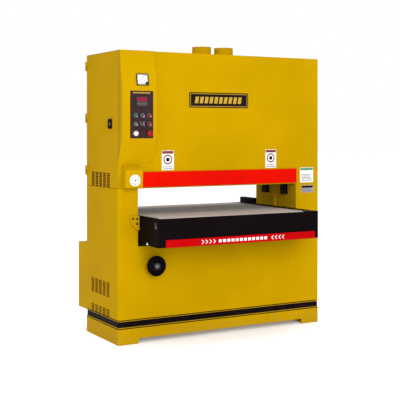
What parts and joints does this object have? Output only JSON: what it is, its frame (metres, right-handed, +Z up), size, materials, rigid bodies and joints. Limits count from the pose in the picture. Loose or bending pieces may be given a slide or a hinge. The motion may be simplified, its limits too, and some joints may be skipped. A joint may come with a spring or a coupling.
{
  "type": "wide belt sander",
  "caption": "Floor-standing wide-belt sander: a lifting conveyor table feeds boards through a throat under a belt sanding head, with a bulged console and roof dust ports.",
  "frame": {"origin": "on the floor, under the middle of the cabinet's base", "axes": "+Z up, +Y to the back, away from the operator at the infeed side, +X to the operator's right"},
  "size_m": [1.507, 0.974, 1.866],
  "materials": {
    "painted_yellow": "satin enamel",
    "painted_black": "satin enamel",
    "painted_red": "satin enamel",
    "grey_enamel": "hammered enamel",
    "panel_plate": "anodised and printed",
    "printed_plate": "printed",
    "bright_steel": "machined",
    "roller_aluminium": "turned",
    "roller_rubber": "ground rubber",
    "feed_belt": "ribbed rubber",
    "vee_belt": "moulded rubber",
    "abrasive": "coated abrasive cloth",
    "black_plastic": "moulded",
    "white_plastic": "moulded",
    "green_plastic": "moulded",
    "grey_plastic": "moulded",
    "red_plastic": "moulded",
    "needle_steel": "painted"
  },
  "bodies": {
    "frame": {"base_plinth": "painted_yellow", "base_band": "painted_black", "lower_panels": "painted_yellow", "deck_plate": "grey_enamel", "left_column": "painted_yellow", "right_column": "painted_yellow", "head_front_cover": "painted_yellow", "head_rear_cover": "painted_yellow", "head_top_cover": "painted_yellow", "dust_ports": "grey_enamel", "console_cover": "painted_yellow", "control_panel": "panel_plate", "panel_fittings": "black_plastic", "ammeter_case": "black_plastic", "left_end_housing": "painted_yellow", "gauge_disc": "white_plastic", "infeed_guard": "painted_red", "guard_screws": "bright_steel", "info_plates": "printed_plate", "lift_housings": "grey_enamel", "lift_chain": "bright_steel", "cantilever_beam": "grey_enamel", "abrasive_belt": "abrasive", "main_motor": "grey_enamel", "drive_belts": "vee_belt", "electrical_cabinet": "painted_yellow", "left_bearing_plate": "bright_steel", "right_bearing_plate": "bright_steel"},
    "table": {"table_frame": "painted_black", "table_bed": "bright_steel", "table_front_cover": "painted_black", "conveyor_belt": "feed_belt", "side_gusset": "painted_yellow", "conveyor_gearmotor": "painted_black", "lift_screws": "bright_steel"},
    "stop_bar": {"stop_strip": "painted_red"},
    "front_roller": {"idler_roller": "roller_rubber"},
    "rear_roller": {"drive_roller": "roller_rubber"},
    "handwheel": {"handwheel": "black_plastic"},
    "left_nut": {"sprocket_nut_left": "bright_steel"},
    "right_nut": {"sprocket_nut_right": "bright_steel"},
    "drum": {"contact_drum": "roller_rubber"},
    "motor_rotor": {"motor_pulley": "bright_steel"},
    "yoke": {"tension_yoke": "bright_steel"},
    "upper_roller": {"tracking_roller": "roller_aluminium"},
    "infeed_pressure_roller": {"infeed_roller": "roller_rubber"},
    "outfeed_pressure_roller": {"outfeed_roller": "roller_rubber"},
    "belt_door": {"side_door": "painted_yellow"},
    "latch": {"door_latch": "bright_steel"},
    "box_door": {"cabinet_door": "painted_yellow"},
    "box_lock": {"cabinet_lock": "bright_steel"},
    "needle": {"ammeter_needle": "needle_steel"},
    "start": {"start_button": "green_plastic"},
    "feed": {"feed_button": "grey_plastic"},
    "stop": {"stop_button": "red_plastic"},
    "reverse": {"reverse_button": "black_plastic"},
    "feed_stop": {"feed_stop_button": "red_plastic"},
    "selector": {"mode_selector": "black_plastic"},
    "speed": {"speed_knob": "white_plastic"},
    "emergency": {"emergency_stop": "red_plastic"}
  },
  "joints": [
    {"name": "table_lift", "type": "slide", "parent": "frame", "child": "table", "axis": [0, 0, 1], "range_m": [0, 0.15]},
    {"name": "stop_bar_push", "type": "slide", "parent": "table", "child": "stop_bar", "axis": [0, 1, 0], "range_m": [0, 0.003], "stiffness_N_per_m": 2000},
    {"name": "front_roller_turn", "type": "hinge", "parent": "table", "child": "front_roller", "pos_m": [0, -0.479, 0.752], "axis": [1, 0, 0], "continuous": true},
    {"name": "rear_roller_turn", "type": "hinge", "parent": "table", "child": "rear_roller", "pos_m": [0, 0.36, 0.752], "axis": [1, 0, 0], "continuous": true},
    {"name": "handwheel_turn", "type": "hinge", "parent": "frame", "child": "handwheel", "pos_m": [-0.511, -0.248, 0.476], "axis": [0, -1, 0], "range_deg": [-10, 9010]},
    {"name": "left_nut_turn", "type": "hinge", "parent": "frame", "child": "left_nut", "pos_m": [-0.511, 0, 0.56], "axis": [0, 0, 1], "range_deg": [-10, 9010]},
    {"name": "right_nut_turn", "type": "hinge", "parent": "frame", "child": "right_nut", "pos_m": [0.511, 0, 0.56], "axis": [0, 0, 1], "range_deg": [-10, 9010]},
    {"name": "drum_turn", "type": "hinge", "parent": "frame", "child": "drum", "pos_m": [0, 0, 1.038], "axis": [1, 0, 0], "continuous": true},
    {"name": "motor_turn", "type": "hinge", "parent": "frame", "child": "motor_rotor", "pos_m": [0, 0, 0.24], "axis": [1, 0, 0], "continuous": true},
    {"name": "belt_tension", "type": "slide", "parent": "frame", "child": "yoke", "axis": [0, 0, -1], "range_m": [0, 0.02]},
    {"name": "upper_roller_turn", "type": "hinge", "parent": "yoke", "child": "upper_roller", "pos_m": [0, 0, 1.58], "axis": [1, 0, 0], "continuous": true},
    {"name": "infeed_roller_turn", "type": "hinge", "parent": "frame", "child": "infeed_pressure_roller", "pos_m": [0, -0.117, 0.983], "axis": [1, 0, 0], "continuous": true},
    {"name": "outfeed_roller_turn", "type": "hinge", "parent": "frame", "child": "outfeed_pressure_roller", "pos_m": [0, 0.117, 0.983], "axis": [1, 0, 0], "continuous": true},
    {"name": "belt_door_swing", "type": "hinge", "parent": "frame", "child": "belt_door", "pos_m": [-0.7535, 0.25, 1.377], "axis": [0, 0, -1], "range_deg": [0, 110]},
    {"name": "latch_turn", "type": "hinge", "parent": "belt_door", "child": "latch", "pos_m": [-0.748, -0.1345, 1.351], "axis": [1, 0, 0], "range_deg": [0, 90]},
    {"name": "box_door_swing", "type": "hinge", "parent": "frame", "child": "box_door", "pos_m": [-0.4435, 0.388, 0.358], "axis": [0, 0, -1], "range_deg": [0, 110]},
    {"name": "box_lock_turn", "type": "hinge", "parent": "box_door", "child": "box_lock", "pos_m": [-0.723, 0.388, 0.358], "axis": [0, 1, 0], "range_deg": [0, 90]},
    {"name": "needle_swing", "type": "hinge", "parent": "frame", "child": "needle", "pos_m": [-0.585, -0.30888, 1.59883], "axis": [0, 0.9874, -0.1585], "range_deg": [0, 90]},
    {"name": "start_press", "type": "slide", "parent": "frame", "child": "start", "axis": [0, 1, 0], "range_m": [0, 0.003], "stiffness_N_per_m": 400},
    {"name": "feed_press", "type": "slide", "parent": "frame", "child": "feed", "axis": [0, 1, 0], "range_m": [0, 0.003], "stiffness_N_per_m": 400},
    {"name": "stop_press", "type": "slide", "parent": "frame", "child": "stop", "axis": [0, 1, 0], "range_m": [0, 0.003], "stiffness_N_per_m": 400},
    {"name": "reverse_press", "type": "slide", "parent": "frame", "child": "reverse", "axis": [0, 1, 0], "range_m": [0, 0.003], "stiffness_N_per_m": 400},
    {"name": "feed_stop_press", "type": "slide", "parent": "frame", "child": "feed_stop", "axis": [0, 1, 0], "range_m": [0, 0.003], "stiffness_N_per_m": 400},
    {"name": "emergency_press", "type": "slide", "parent": "frame", "child": "emergency", "axis": [0, 1, 0], "range_m": [0, 0.004]},
    {"name": "selector_turn", "type": "hinge", "parent": "frame", "child": "selector", "pos_m": [-0.616, -0.305, 1.348], "axis": [0, -1, 0], "range_deg": [-45, 45]},
    {"name": "speed_turn", "type": "hinge", "parent": "frame", "child": "speed", "pos_m": [-0.662, -0.305, 1.291], "axis": [0, -1, 0], "range_deg": [-135, 135]}
  ],
  "couplings": [
    {"joint": "handwheel_turn", "follows": "table_lift", "rad_per_m": 1047.2},
    {"joint": "left_nut_turn", "follows": "table_lift", "rad_per_m": 1047.2},
    {"joint": "right_nut_turn", "follows": "table_lift", "rad_per_m": 1047.2},
    {"joint": "motor_turn", "follows": "drum_turn", "ratio": 0.85714},
    {"joint": "upper_roller_turn", "follows": "drum_turn", "ratio": 1.3333},
    {"joint": "rear_roller_turn", "follows": "front_roller_turn", "ratio": 1}
  ]
}
